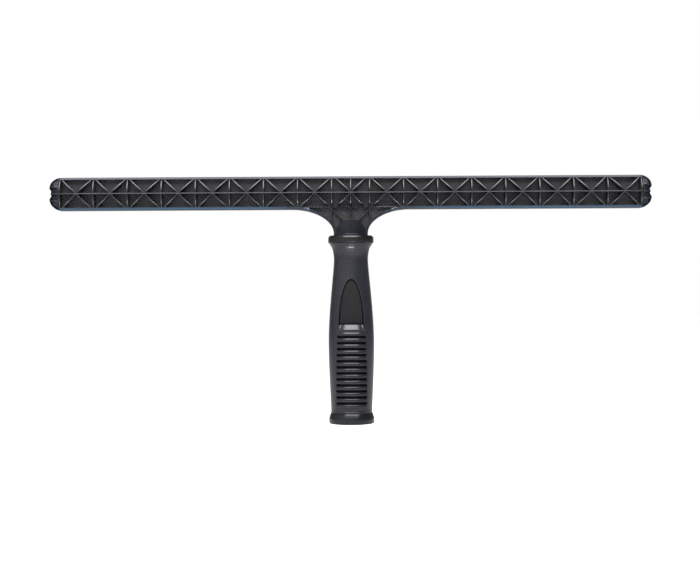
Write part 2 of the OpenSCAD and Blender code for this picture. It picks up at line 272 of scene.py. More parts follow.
def select_faces(piece, test):
    """Select the faces whose middle passes the test."""
    bpy.ops.mesh.select_mode(type="FACE")
    bpy.ops.mesh.select_all(action="DESELECT")
    shape = bmesh.from_edit_mesh(piece.data)
    for face in shape.faces:
        face.select_set(test(face, face.calc_center_median()))
    bmesh.update_edit_mesh(piece.data)


def select_points(piece, test):
    """Of the selected points, keep those that pass the test."""
    bpy.ops.mesh.select_mode(type="VERT")
    shape = bmesh.from_edit_mesh(piece.data)
    for point in shape.verts:
        point.select_set(point.select and test(point.co))
    shape.select_flush_mode()
    bmesh.update_edit_mesh(piece.data)


def select_edges(piece, test):
    bpy.ops.mesh.select_mode(type="EDGE")
    bpy.ops.mesh.select_all(action="DESELECT")
    shape = bmesh.from_edit_mesh(piece.data)
    for edge in shape.edges:
        if test(edge):
            edge.select_set(True)
    bmesh.update_edit_mesh(piece.data)


def cut(place, normal):
    """Cut the selected faces along a plane."""
    across = Vector(normal).normalized()
    bpy.ops.mesh.bisect(plane_co=place, plane_no=across, threshold=0.002 * MM)


def apply_modifier(piece, kind, **settings):
    """Add one modifier and apply it at once."""
    deselect_all()
    bpy.context.view_layer.objects.active = piece
    piece.select_set(True)
    modifier = piece.modifiers.new(kind.lower(), kind)
    for name, value in settings.items():
        setattr(modifier, name, value)
    bpy.ops.object.modifier_apply(modifier=modifier.name)


def close_seams(piece):
    """Merge doubled points, fill small slits and turn every face outwards."""
    edit(piece)
    bpy.ops.mesh.select_all(action="SELECT")
    bpy.ops.mesh.remove_doubles(threshold=0.003 * MM)
    bpy.ops.mesh.fill_holes(sides=5)
    bpy.ops.mesh.normals_make_consistent(inside=False)
    leave_edit()


def smooth(piece, angle=35):
    """Smooth shading that keeps the edges sharper than an angle in degrees."""
    deselect_all()
    bpy.context.view_layer.objects.active = piece
    piece.select_set(True)
    bpy.ops.object.shade_smooth_by_angle(angle=math.radians(angle))


def flat_outline(name, outline, y):
    """One face that looks to the front, with the given outline of (x, z) points, at depth y."""
    deselect_all()
    bpy.ops.mesh.primitive_circle_add(
        vertices=len(outline), fill_type="NGON", rotation=(math.radians(90), 0, 0)
    )
    plate = bpy.context.object
    plate.name = name
    bpy.ops.object.transform_apply(location=True, rotation=True, scale=True)
    for vertex, (x, z) in zip(plate.data.vertices, outline):
        vertex.co = (x, y, z)
    edit(plate)
    bpy.ops.mesh.select_all(action="SELECT")
    shape = bmesh.from_edit_mesh(plate.data)
    shape.faces.ensure_lookup_table()
    if shape.faces[0].normal.y > 0:
        bpy.ops.mesh.flip_normals()
    return plate


def round_rim(radius, segments=4):
    """Insets of the selected face that round its outer edge, rising towards the front."""
    for i in range(segments):
        a, b = (math.radians(90 * k / segments) for k in (i, i + 1))
        bpy.ops.mesh.inset(
            thickness=radius * (math.cos(a) - math.cos(b)),
            depth=radius * (math.sin(b) - math.sin(a)),
        )


def mirrored(points):
    return [(-x, z) for x, z in reversed(points)]


def arc_steps(first=0.0, last=90.0, count=CURVE_STEPS):
    return [math.radians(first + (last - first) * i / count) for i in range(count + 1)]


def end_curve(x_from, x_to, count):
    """Upper half of a rounded end seen from the front, from a given x back to another."""
    first, last = (math.degrees(math.acos((x - ROUND_START) / FRONT_REACH)) for x in (x_from, x_to))
    return [
        (ROUND_START + FRONT_REACH * math.cos(a), BAR_MIDDLE + BAR_HEIGHT / 2 * math.sin(a))
        for a in arc_steps(first, last, count)
    ]


def below_middle(points):
    return [(x, 2 * BAR_MIDDLE - z) for x, z in reversed(points)]


def oval(z, half_depth=BAR_HALF_DEPTH):
    """Half thickness of the bar at a height: an arc between its two flat edges."""
    bulge = half_depth - EDGE_HALF_DEPTH
    radius = ((BAR_HEIGHT / 2) ** 2 + bulge**2) / (2 * bulge)
    off = min(abs(z - BAR_MIDDLE), BAR_HEIGHT / 2)
    return half_depth - radius + math.sqrt(radius**2 - off**2)


def past_gusset_edge(x, z):
    """Distance of a place inwards from the gusset's curved edge."""
    aside = max(0, 1 - (abs(x) - NECK_RADIUS) / GUSSET_REACH)
    down = max(0, (z - NECK_TOP) / (BAR_BOTTOM - NECK_TOP))
    across = along = 100 * MM
    if down < 1:
        across = NECK_RADIUS + GUSSET_REACH * (1 - math.sqrt(1 - down**2)) - abs(x)
    if aside < 1:
        along = z - NECK_TOP - (BAR_BOTTOM - NECK_TOP) * math.sqrt(1 - aside**2)
    return max(0, across) * max(0, along) / math.hypot(across, along)


def crest_depth(x, z, half_depth=BAR_HALF_DEPTH):
    """Half thickness of the bar at its surface, also round its ends and over the gusset."""
    past_start = max(0, abs(x) - ROUND_START) / PLAN_REACH
    section = min(oval(z, half_depth), half_depth * math.sqrt(max(0, 1 - past_start**2)))
    up_middle_rib = (z - BAR_MIDDLE) / RIB_CREST + 0.5
    if 0 < up_middle_rib < LEAN_END:
        section -= MIDDLE_LEAN * min(1, up_middle_rib)
    lean = min(1, max(0, (NECK_RADIUS + GUSSET_REACH - abs(x)) / EDGE_BLEND))
    if lean == 0:
        return section
    above_line = max(0, z - GUSSET_LINE - RIB_CREST / 2) / LINE_BLEND
    over_gusset = min(1, (GUSSET_POCKET_END + POCKET_BLEND - abs(x)) / POCKET_BLEND)
    if above_line < 1 and over_gusset > 0:
        section += over_gusset * (1 - above_line) * (GUSSET_HALF_DEPTH - section)
    edge = EDGE_HALF_DEPTH - lean * GUSSET_STEP + GUSSET_TILT * past_gusset_edge(x, z)
    return min(section, edge)


def follow_section(piece, flat_depth, floor_depth, half_depth=BAR_HALF_DEPTH):
    """Bend a piece modelled at flat depths so that its crests follow the bar's section."""
    kept = OUTER_ROUNDING + 0.01 * MM
    for vertex in bmesh.from_edit_mesh(piece.data).verts:
        depth = crest_depth(vertex.co.x, vertex.co.z, half_depth)
        drop = flat_depth + vertex.co.y
        if drop > kept:
            share = (drop - kept) / (flat_depth - floor_depth - kept)
            drop = kept + share * (depth - floor_depth - kept)
        vertex.co.y = drop - depth
    bmesh.update_edit_mesh(piece.data)


def close_to_middle(piece):
    """Draw the open outer edge back to the middle plane and add the back half."""
    select_edges(piece, lambda e: e.is_boundary)
    bpy.ops.mesh.extrude_edges_move()
    bpy.ops.transform.resize(value=(1, 0, 1), center_override=(0, 0, 0))
    leave_edit()
    apply_modifier(piece, "MIRROR", use_axis=(False, True, False), merge_threshold=0.01 * MM)
    close_seams(piece)


def in_pocket(face):
    return face.material_index == POCKET


def tag_selected_as_pockets(piece):
    for face in bmesh.from_edit_mesh(piece.data).faces:
        face.material_index = POCKET if face.select else CREST


def select_lips(piece):
    """Select the edges where a crest meets a pocket's wall."""
    select_edges(
        piece,
        lambda e: len(e.link_faces) == 2
        and in_pocket(e.link_faces[0]) != in_pocket(e.link_faces[1]),
    )


def cut_through(places, normal):
    """Cut the whole piece that is being edited along a plane through each place."""
    for place in places:
        bpy.ops.mesh.select_all(action="SELECT")
        cut(place, normal)


gusset_curve = [
    (
        NECK_RADIUS + GUSSET_REACH * (1 - math.cos(a)),
        NECK_TOP + (BAR_BOTTOM - NECK_TOP) * math.sin(a),
    )
    for a in arc_steps()
]
body_curve = end_curve(BODY_END, ROUND_START, 1)
head_side = [(NECK_RADIUS, COLLAR_TOP)] + gusset_curve + below_middle(body_curve) + body_curve
head_outline = head_side + mirrored(head_side)
head = flat_outline("crossbar_ribs", head_outline, OUTER_ROUNDING - BAR_HALF_DEPTH)
head.data.materials.append(bpy.data.materials.new("bar_crests"))
head.data.materials.append(bpy.data.materials.new("bar_pockets_painted_light"))

# The rim that becomes the flanges is a little wider at the bar's lower edge and along the gusset.
# At the bar's ends its inner corners are square, and the end walls are as thick as a rib.
round_rim(OUTER_ROUNDING)
bpy.ops.mesh.inset(thickness=FLANGE - OUTER_ROUNDING)
tag_selected_as_pockets(head)
edge_line = [Vector((x, 0, z)) for x, z in gusset_curve[:-1] + mirrored(gusset_curve[:-1])]
for vertex in bmesh.from_edit_mesh(head.data).verts:
    x, y, z = vertex.co
    if not vertex.select:
        continue
    if abs(z - BAR_BOTTOM - FLANGE) < 0.02 * MM:
        vertex.co.z = BAR_BOTTOM + LOWER_FLANGE
    elif z < BAR_BOTTOM + FLANGE:
        nearest = min(edge_line, key=lambda p: (p - Vector((x, 0, z))).length)
        vertex.co.x = nearest.x + (x - nearest.x) * GUSSET_EDGE / FLANGE
        vertex.co.z = nearest.z + (z - nearest.z) * GUSSET_EDGE / FLANGE
bmesh.update_edit_mesh(head.data)
for side in (-1, 1):
    for way in (-1, 1):
        select_faces(head, lambda f, c: in_pocket(f))
        select_points(
            head,
            lambda c: side * c.x > BODY_END - FLANGE - 0.3 * MM and way * (c.z - BAR_MIDDLE) > 0,
        )
        bpy.ops.mesh.merge(type="CENTER")
        for vertex in bmesh.from_edit_mesh(head.data).verts:
            if vertex.select:
                vertex.co.x = side * (BODY_END - RIB)
                vertex.co.z = BAR_TOP - FLANGE if way > 0 else BAR_BOTTOM + LOWER_FLANGE
        bmesh.update_edit_mesh(head.data)


def cut_rib(place, normal, choose):
    """Two cuts, one along each side of a rib, through the faces that a test chooses."""
    for side in (-1, 1):
        select_faces(head, lambda f, c: in_pocket(f) and choose(c))
        cut(Vector(place) + Vector(normal).normalized() * side * (RIB_CREST / 2), normal)


def in_bar(c):
    return c.z > GUSSET_LINE


def in_gusset(c):
    return c.z < GUSSET_LINE - RIB / 2


rib_lines = []


def add_rib(place, normal, choose):
    """Cut a rib's two sides and note its middle line and where it runs."""
    rib_lines.append((Vector(place), Vector(normal).normalized(), choose))
    cut_rib(place, normal, choose)


def cross_cell(start, length, inset):
    """Two diagonals through a cell, which meet its flanges a little inside its uprights."""
    for way in (-1, 1):
        run = Vector((length / 2 - inset, 0, way * (BAR_HEIGHT / 2 - FLANGE)))
        add_rib(
            (start + length / 2, 0, BAR_MIDDLE),
            run.cross(Vector((0, 1, 0))),
            lambda c: in_bar(c) and start + RIB / 2 < c.x < start + length - RIB / 2,
        )


add_rib((0, 0, GUSSET_LINE), (0, 0, 1), lambda c: True)
add_rib((0, 0, BAR_MIDDLE), (0, 0, 1), in_bar)
for side in (-1, 1):
    for i in range(SIDE_CELLS):
        add_rib((side * (CENTRE_CELL / 2 + i * CELL), 0, 0), (1, 0, 0), in_bar)
cross_cell(-CENTRE_CELL / 2, CENTRE_CELL, 2 * DIAGONAL_INSET)
for i in range(SIDE_CELLS):
    inner = CENTRE_CELL / 2 + i * CELL
    cross_cell(inner, CELL, DIAGONAL_INSET)
    cross_cell(-inner - CELL, CELL, DIAGONAL_INSET)
add_rib((0, 0, 0), (1, 0, 0), lambda c: abs(c.x) < CENTRE_CELL / 2)
for side in (-1, 1):
    corner = (side * CENTRE_CELL / 2, 0, BAR_BOTTOM)
    add_rib(corner, (1, 0, 0), in_gusset)
    add_rib(
        corner,
        (1, 0, -side),
        lambda c, side=side: in_gusset(c) and 0 < side * c.x < CENTRE_CELL / 2 - RIB / 2,
    )
    select_faces(head, lambda f, c: in_pocket(f) and in_gusset(c))
    cut((side * GUSSET_POCKET_END, 0, 0), (1, 0, 0))
select_faces(head, lambda f, c: in_pocket(f) and in_gusset(c))
cut((0, 0, NECK_TOP + GUSSET_FLOOR), (0, 0, 1))
add_rib((0, 0, 0), (1, 0, 0), lambda c: in_gusset(c) and abs(c.x) < CENTRE_CELL / 4)


def near_upright(x):
    """Whether a place is in the narrow corner between an upright and the diagonals beside it."""
    off = abs(x) - CENTRE_CELL / 2
    if off < -2 * RIB:
        return False
    return abs(off - CELL * round(off / CELL)) < DIAGONAL_INSET + CORNER_FILL


def is_solid(c):
    """Whether a place lies on a rib or in a corner that is filled."""
    for place, normal, choose in rib_lines:
        if choose(c) and abs((c - place).dot(normal)) < RIB_CREST / 2:
            return True
    if in_gusset(c):
        return abs(c.x) > GUSSET_POCKET_END or c.z < NECK_TOP + GUSSET_FLOOR
    return abs(c.z - BAR_MIDDLE) > corner_height and near_upright(c.x)


corner_height = BAR_HEIGHT / 2 - FLANGE - CORNER_FILL
for way in (-1, 1):
    select_faces(head, lambda f, c: in_pocket(f) and in_bar(c) and near_upright(c.x))
    cut((0, 0, BAR_MIDDLE + way * corner_height), (0, 0, 1))
bpy.ops.mesh.select_all(action="SELECT")
bpy.ops.mesh.remove_doubles(threshold=0.04 * MM)
select_faces(head, lambda f, c: in_pocket(f) and not is_solid(Vector((c.x, 0, c.z))))

# The pockets are sunk to the middle wall, and their lips are rounded
tag_selected_as_pockets(head)
bpy.ops.mesh.inset(thickness=POCKET_DRAFT, depth=WEB_HALF - BAR_HALF_DEPTH, use_even_offset=True)
select_lips(head)
bpy.ops.mesh.bevel(offset=RIB_ROUNDING, segments=3, affect="EDGES", clamp_overlap=True)

# Level cuts let the ribs follow the oval section
cut_through(
    [(0, 0, BAR_BOTTOM + BAR_HEIGHT * i / LEVEL_CUTS) for i in range(1, LEVEL_CUTS)], (0, 0, 1)
)
cut_through([(0, 0, BAR_BOTTOM - GUSSET_LEVEL * i) for i in range(1, 5)], (0, 0, 1))
follow_section(head, BAR_HALF_DEPTH, WEB_HALF)
close_to_middle(head)


GRAIN_SIZE = 0.35 * MM


def moulded_plastic(material, dark, light, roughness, grain=0.10, specular=0.5):
    """Black moulded plastic: fine spark-eroded grain, cloudy colour and slightly uneven gloss."""
    material.use_nodes = True
    tree = material.node_tree
    shader = tree.nodes["Principled BSDF"]
    shader.inputs["Specular IOR Level"].default_value = specular
    place = tree.nodes.new("ShaderNodeTexCoord")
    clouds = add_node(tree, "ShaderNodeTexNoise", Scale=55.0, Detail=4.0, Roughness=0.6)
    colour = tree.nodes.new("ShaderNodeMix")
    colour.data_type = "RGBA"
    colour.inputs[6].default_value = (*dark, 1)
    colour.inputs[7].default_value = (*light, 1)
    smoothest, roughest = roughness
    gloss = add_node(
        tree, "ShaderNodeMapRange", From_Min=0.3, From_Max=0.7, To_Min=smoothest, To_Max=roughest
    )
    smears = add_node(tree, "ShaderNodeTexNoise", Scale=140.0, Detail=2.0)
    eroded = add_node(tree, "ShaderNodeTexNoise", Scale=1 / GRAIN_SIZE, Detail=2.0)
    bump = add_node(tree, "ShaderNodeBump", Strength=grain, Distance=0.1 * MM)
    for texture in (clouds, smears, eroded):
        tree.links.new(place.outputs["Object"], texture.inputs["Vector"])
    tree.links.new(clouds.outputs["Fac"], colour.inputs["Factor"])
    tree.links.new(colour.outputs[2], shader.inputs["Base Color"])
    tree.links.new(smears.outputs["Fac"], gloss.inputs["Value"])
    tree.links.new(gloss.outputs["Result"], shader.inputs["Roughness"])
    tree.links.new(eroded.outputs["Fac"], bump.inputs["Height"])
    tree.links.new(bump.outputs["Normal"], shader.inputs["Normal"])


def ring_profile(name, points):
    """Closed chain of (radius, height) points beside the middle line of the handle."""
    deselect_all()
    bpy.ops.mesh.primitive_circle_add(vertices=len(points), fill_type="NOTHING")
    ring = bpy.context.object
    ring.name = name
    bpy.ops.object.transform_apply(location=True, rotation=True, scale=True)
    for vertex, (radius, height) in zip(ring.data.vertices, points):
        vertex.co = (radius, 0, height)
    return ring


def turn(ring, steps=96):
    """Spin a chain of points once round the middle line into a closed ring."""
    edit(ring)
    bpy.ops.mesh.select_all(action="SELECT")
    bpy.ops.mesh.spin(steps=steps, angle=2 * math.pi, center=(0, 0, 0), axis=(0, 0, 1))
    leave_edit()
    close_seams(ring)


def rounded(radius, height, size, first, last, count=5):
    """Points of a rounded corner about its centre, from one angle in degrees to another."""
    return [
        (radius + size * math.cos(a), height + size * math.sin(a))
        for a in arc_steps(first, last, count)
    ]


CORNER = 0.5 * MM
NEAR_AXIS = 0.01 * MM
NECK_ROOF = 2 * MM
DOME_PROUD, DOME_SUNK = 0.4 * MM, 1 * MM
DOME_EDGE = 1.6 * MM
DOME_SPREAD = 1.11
DOME_RIB, DOME_RIB_ROUNDING = 0.35 * MM, 0.3 * MM
neck_points = (
    [(STEM_HOLLOW, STEM_BOTTOM)]
    + rounded(STEM_RADIUS - CORNER, STEM_BOTTOM + CORNER, CORNER, -90, 0)
    + [(STEM_RADIUS, NECK_FOOT), (NECK_RADIUS, NECK_FOOT)]
    + rounded(NECK_RADIUS - CORNER, NECK_TOP - CORNER, CORNER, 0, 90)
    + [(NEAR_AXIS, NECK_TOP), (NEAR_AXIS, NECK_TOP - NECK_ROOF)]
    + [(STEM_HOLLOW, NECK_TOP - NECK_ROOF)]
)
neck = ring_profile("crossbar_neck", neck_points)
turn(neck)

# Seen from the front the neck ends in an arch, whose face goes on round the neck
deselect_all()
bpy.ops.mesh.primitive_cylinder_add(
    vertices=96, radius=DOME_RADIUS + DOME_PROUD, depth=2.2 * DOME_RADIUS, location=(0, 0, NECK_TOP)
)
dome = bpy.context.object
bpy.ops.object.transform_apply(location=True, rotation=True, scale=True)
deselect_all()
bpy.ops.mesh.primitive_cylinder_add(
    vertices=96,
    radius=DOME_RADIUS,
    depth=3 * DOME_RADIUS,
    location=(0, 0, NECK_TOP),
    rotation=(math.radians(90), 0, 0),
)
arch = bpy.context.object
bpy.ops.object.transform_apply(location=True, rotation=True, scale=True)


def add_solid(piece, other, operation="UNION"):
    """Join another solid to a piece, or cut it away, and drop the other."""
    apply_modifier(piece, "BOOLEAN", object=other, operation=operation, solver="EXACT")
    bpy.data.objects.remove(other)


add_solid(dome, arch, "INTERSECT")
edit(dome)
bpy.ops.mesh.select_all(action="SELECT")
bpy.ops.mesh.bisect(
    plane_co=(0, 0, NECK_TOP - DOME_SUNK), plane_no=(0, 0, 1), clear_inner=True, use_fill=True
)
leave_edit()
close_seams(dome)
edit(dome)
bpy.ops.mesh.select_all(action="SELECT")
bpy.ops.transform.resize(value=(DOME_SPREAD, 1, 1), center_override=(0, 0, 0))
leave_edit()
apply_modifier(
    dome, "BEVEL", width=DOME_EDGE, segments=4, limit_method="ANGLE", angle_limit=math.radians(20)
)

# One thin rib runs up the middle of the arch and over it
deselect_all()
rib_height = DOME_RADIUS + DOME_RIB
bpy.ops.mesh.primitive_cube_add(size=1, location=(0, 0, NECK_TOP + (rib_height - NECK_ROOF) / 2))
dome_rib = bpy.context.object
dome_rib.scale = (RIB_CREST, 2 * (DOME_RADIUS + DOME_PROUD + DOME_RIB), rib_height + NECK_ROOF)
bpy.ops.object.transform_apply(location=True, rotation=True, scale=True)
apply_modifier(dome_rib, "BEVEL", width=DOME_RIB_ROUNDING, segments=3)
add_solid(neck, dome)
add_solid(neck, dome_rib)

# The neck is sunk into the gusset as a solid of its own, and both become one mesh. The neck below
# its apex, the line rib over the gusset and the faces there that look down get a darker, bluer and
# less glossy copy of the bar's plastic: painted shade with a painted bluish reflection, not a
# finish of their own. Above the apex the neck keeps the glossier crest plastic.
PAINTED_SHADE_TOP = GUSSET_LINE + 2 * MM
APEX = NECK_TOP + 0.86 * DOME_RADIUS
FACING_DOWN = -0.2
head.data.materials.append(bpy.data.materials.new("bar_painted_shade"))
for face in head.data.polygons:
    over_gusset = abs(face.center.x) < GUSSET_REACH and face.center.z < PAINTED_SHADE_TOP
    line_rib = abs(face.center.z - GUSSET_LINE) < RIB_CREST and face.material_index == CREST
    if over_gusset and (line_rib or face.normal.z < FACING_DOWN):
        face.material_index = PAINTED_SHADE
neck.data.materials.clear()
for material in head.data.materials:
    neck.data.materials.append(material)
for face in neck.data.polygons:
    face.material_index = CREST if face.center.z > APEX else PAINTED_SHADE
deselect_all()
neck.select_set(True)
head.select_set(True)
bpy.context.view_layer.objects.active = head
bpy.ops.object.join()
close_seams(head)
smooth(head)
moulded_plastic(
    head.data.materials[CREST],
    (0.008, 0.0077, 0.009), (0.013, 0.0125, 0.0145), (0.22, 0.30), grain=0.05,
)
# The pocket copy of the bar's plastic is lighter and duller than the crest copy: painted light that
# lifts the pocket floors and walls out of their shade.
moulded_plastic(
    head.data.materials[POCKET],
    (0.0185, 0.0183, 0.0198), (0.023, 0.0227, 0.0243), (0.34, 0.44), grain=0.05,
)
# Darker, bluer, less glossy copy of the bar's plastic: painted shade and a painted bluish
# reflection.
moulded_plastic(
    head.data.materials[PAINTED_SHADE],
    (0.0065, 0.0072, 0.0105), (0.0105, 0.0115, 0.0155), (0.22, 0.30), grain=0.05, specular=0.26,
)
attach(head, "root")
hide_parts("crossbar")


# ---------------------------------------------------------------- end tips
# Each end of the bar is closed by a rounded plug of the same black nylon: three thin fins stand
# off its body, and its far edge has two lobes with a toothed notch between them. Its plastic
# carries a blue-green tint, a painted reflection, and the hollows between the fins get a darker,
# duller
# copy: painted shade.

NOTCH = 1.9 * MM
TOOTH = 0.8 * MM
FINS = (-5.2 * MM, 0, 5.2 * MM)
FIN_DROP, FIN_DRAFT = 1.6 * MM, 0.2 * MM
FIN_ROUNDING = 0.35 * MM
TIP_RIM = 0.5 * MM
TIP_LEVELS, TIP_STATIONS = 12, 6

lobe_to_body = end_curve(BAR_END, BODY_END, 10)
notch_edge = [
    (BAR_END - NOTCH, BAR_MIDDLE - 2 * TOOTH),
    (BAR_END - NOTCH + TOOTH, BAR_MIDDLE),
    (BAR_END - NOTCH, BAR_MIDDLE + 2 * TOOTH),
]
tip_outline = below_middle(lobe_to_body) + notch_edge + lobe_to_body
tip = flat_outline("right_tip", tip_outline, TIP_RIM - BAR_HALF_DEPTH)
tip.data.materials.append(bpy.data.materials.new("tip_plastic_black"))
tip.data.materials.append(bpy.data.materials.new("tip_plastic_painted_shade"))
round_rim(TIP_RIM, 3)
tag_selected_as_pockets(tip)
for fin in FINS:
    for edge in (-RIB / 2, RIB / 2):
        select_faces(tip, lambda f, c: in_pocket(f))
        cut((0, 0, BAR_MIDDLE + fin + edge), (0, 0, 1))


def on_fin(z):
    return any(abs(z - BAR_MIDDLE - fin) < RIB / 2 for fin in FINS)


select_faces(tip, lambda f, c: in_pocket(f) and not on_fin(c.z))
tag_selected_as_pockets(tip)
bpy.ops.mesh.inset(thickness=FIN_DRAFT, depth=-FIN_DROP, use_even_offset=True)
select_lips(tip)
bpy.ops.mesh.bevel(offset=FIN_ROUNDING, segments=2, affect="EDGES", clamp_overlap=True)
cut_through(
    [(0, 0, BAR_BOTTOM + BAR_HEIGHT * i / TIP_LEVELS) for i in range(1, TIP_LEVELS)], (0, 0, 1)
)
cut_through(
    [(BODY_END + TIP_LENGTH * i / TIP_STATIONS, 0, 0) for i in range(1, TIP_STATIONS)], (1, 0, 0)
)
for vertex in bmesh.from_edit_mesh(tip.data).verts:
    vertex.co.y += BAR_HALF_DEPTH - crest_depth(vertex.co.x, vertex.co.z)
bmesh.update_edit_mesh(tip.data)
close_to_middle(tip)
smooth(tip)
moulded_plastic(
    tip.data.materials[CREST],
    (0.007, 0.0092, 0.0115), (0.0105, 0.0134, 0.0165), (0.34, 0.42), grain=0.03, specular=0.35,
)
# Darker, rougher, less glossy copy for the hollows between the fins: painted shade.
moulded_plastic(
    tip.data.materials[POCKET],
    (0.0055, 0.008, 0.0105), (0.0085, 0.0118, 0.015), (0.44, 0.52), grain=0.03, specular=0.2,
)


def turned_copy(piece, name, signs):
    """A second piece with a mesh of its own, mirrored along the axes whose sign is -1."""
    twin = piece.copy()
    twin.data = piece.data.copy()
    twin.name = name
    bpy.context.collection.objects.link(twin)
    edit(twin)
    bpy.ops.mesh.select_all(action="SELECT")
    bpy.ops.transform.resize(value=signs, center_override=(0, 0, 0))
    if math.prod(signs) < 0:
        bpy.ops.mesh.flip_normals()
    leave_edit()
    return twin


left_tip = turned_copy(tip, "left_tip", (-1, 1, 1))
for piece, node in ((tip, "right_end_tip"), (left_tip, "left_end_tip")):
    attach(piece, "root")
    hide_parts(node)


# ---------------------------------------------------------------- handle core and pin
# The hard core is a turned moulding with a socket for an extension pole below and a bore for the
# crossbar's stem above. A steel pin through both hides under the sleeve.

core_plastic = bpy.data.materials.new("core_plastic")
moulded_plastic(
    core_plastic, (0.004, 0.0042, 0.0042), (0.006, 0.0063, 0.0063), (0.5, 0.6), specular=0.15
)
pin_steel = bpy.data.materials.new("pin_steel")
pin_steel.use_nodes = True
tree = pin_steel.node_tree
steel = tree.nodes["Principled BSDF"]
steel.inputs["Metallic"].default_value = 1
place = tree.nodes.new("ShaderNodeTexCoord")
stretch = add_node(tree, "ShaderNodeMapping", Scale=(1, 40, 40))
brushing = add_node(tree, "ShaderNodeTexNoise", Scale=90.0, Detail=3.0)
steel_tone = tree.nodes.new("ShaderNodeMix")
steel_tone.data_type = "RGBA"
steel_tone.inputs[6].default_value = (0.45, 0.45, 0.47, 1)
steel_tone.inputs[7].default_value = (0.62, 0.62, 0.64, 1)
steel_gloss = add_node(tree, "ShaderNodeMapRange", To_Min=0.25, To_Max=0.45)
tree.links.new(place.outputs["Object"], stretch.inputs["Vector"])
tree.links.new(stretch.outputs[0], brushing.inputs["Vector"])
tree.links.new(brushing.outputs["Fac"], steel_tone.inputs["Factor"])
tree.links.new(steel_tone.outputs[2], steel.inputs["Base Color"])
tree.links.new(brushing.outputs["Fac"], steel_gloss.inputs["Value"])
tree.links.new(steel_gloss.outputs["Result"], steel.inputs["Roughness"])
for node, material in (("handle_core", core_plastic), ("cross_pin", pin_steel)):
    for cad_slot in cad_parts[node].material_slots:
        cad_slot.material = material


# ---------------------------------------------------------------- collar
# The collar is a plain hard ring that caps the sleeve under the crossbar's neck. Its upper edge
# leans back a little and then steps in, and its lower edge is rounded.

GRIP_TOP = NECK_FOOT
COLLAR_RADIUS = 17.0 * MM
COLLAR_ROUNDING = 0.5 * MM
COLLAR_FACET = 0.65 * MM
COLLAR_TILT = 0.42
COLLAR_STEP = 0.8 * MM
COLLAR_BORE = 12.85 * MM
BROKEN_EDGE = 0.4 * MM

collar_shoulder = COLLAR_TOP - COLLAR_STEP
collar_waist = collar_shoulder - COLLAR_FACET - 0.2 * MM
collar_step = COLLAR_RADIUS - COLLAR_STEP
collar = ring_profile(
    "collar",
    [(COLLAR_BORE, GRIP_TOP)]
    + rounded(COLLAR_RADIUS - COLLAR_ROUNDING, GRIP_TOP + COLLAR_ROUNDING, COLLAR_ROUNDING, -90, 0)
    + rounded(COLLAR_RADIUS - COLLAR_ROUNDING, collar_waist, COLLAR_ROUNDING, 0, 22, 3)
    + [(COLLAR_RADIUS - COLLAR_FACET * COLLAR_TILT, collar_shoulder)]
    + [(collar_step, collar_shoulder + 0.1 * MM)]
    + rounded(collar_step - BROKEN_EDGE, COLLAR_TOP - BROKEN_EDGE, BROKEN_EDGE, 0, 90, 4)
    + rounded(COLLAR_BORE + BROKEN_EDGE, COLLAR_TOP - BROKEN_EDGE, BROKEN_EDGE, 90, 180, 3),
)
turn(collar, 128)
smooth(collar)
collar.data.materials.append(bpy.data.materials.new("collar_plastic"))
moulded_plastic(
    collar.data.materials[0],
    (0.003, 0.0032, 0.0032), (0.0048, 0.0052, 0.0052), (0.26, 0.32), grain=0.05,
)
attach(collar, "root")
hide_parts("collar_ring")


# ---------------------------------------------------------------- grip sleeve
# The soft sleeve is black thermoplastic rubber moulded over the core. It swells in the palm,
# narrows to a waist, and has finger grooves and an arched window at the front and at the back.

FOOT_TOP = 7.9 * MM
DIP_RADIUS, DIP_HEIGHT = 15.4 * MM, 10.4 * MM
SWELL_RADIUS, SWELL_HEIGHT = 17.0 * MM, 60.5 * MM
WAIST_RADIUS, WAIST_HEIGHT = 12.8 * MM, GRIP_TOP - 12.6 * MM
FLARE_RADIUS = 16.3 * MM
FLARE_TURN = math.radians(76)
FOOT_RADIUS, FLARE_START = 17.0 * MM, 3.0 * MM
SWELL_PULL, WAIST_PULL = 25 * MM, 8 * MM
SLEEVE_WALL, SKIN_DEPTH = 2.55 * MM, 0.5 * MM
GROOVE_START, GROOVE_PITCH, GROOVES = 15.8 * MM, 4.48 * MM, 12
GROOVE_HALF, GROOVE_DEPTH = 0.95 * MM, 1.5 * MM
GROOVE_REACH, GROOVE_TAPER = 11.45 * MM, 0.75 * MM
TAPER_START, TAPER_RUN = 44 * MM, 22 * MM
SHIFT_FROM, SHIFT_RISE = 8 * MM, 3 * MM
SHIFT_TO, SHIFT_FALL = 84 * MM, 12 * MM
GROOVE_DRAFT = 0.12 * MM
LIP_ROUNDING = 0.3 * MM
RIB_SLOPE, RIB_SET_BACK = 1.3 * MM, 0.38 * MM
LOW_GROOVE = (9.5 * MM, 12.1 * MM)
HIGH_GROOVE = (67.8 * MM, 70.4 * MM)
COLUMNS = 128


def bezier(a, b, c, d, t):
    return (1 - t) ** 3 * a + 3 * (1 - t) ** 2 * t * b + 3 * (1 - t) * t * t * c + t**3 * d


swell_to_waist = [
    (
        bezier(SWELL_HEIGHT, SWELL_HEIGHT + SWELL_PULL, WAIST_HEIGHT - WAIST_PULL, WAIST_HEIGHT, t),
        bezier(SWELL_RADIUS, SWELL_RADIUS, WAIST_RADIUS, WAIST_RADIUS, t),
    )
    for t in [i / 60 for i in range(61)]
]


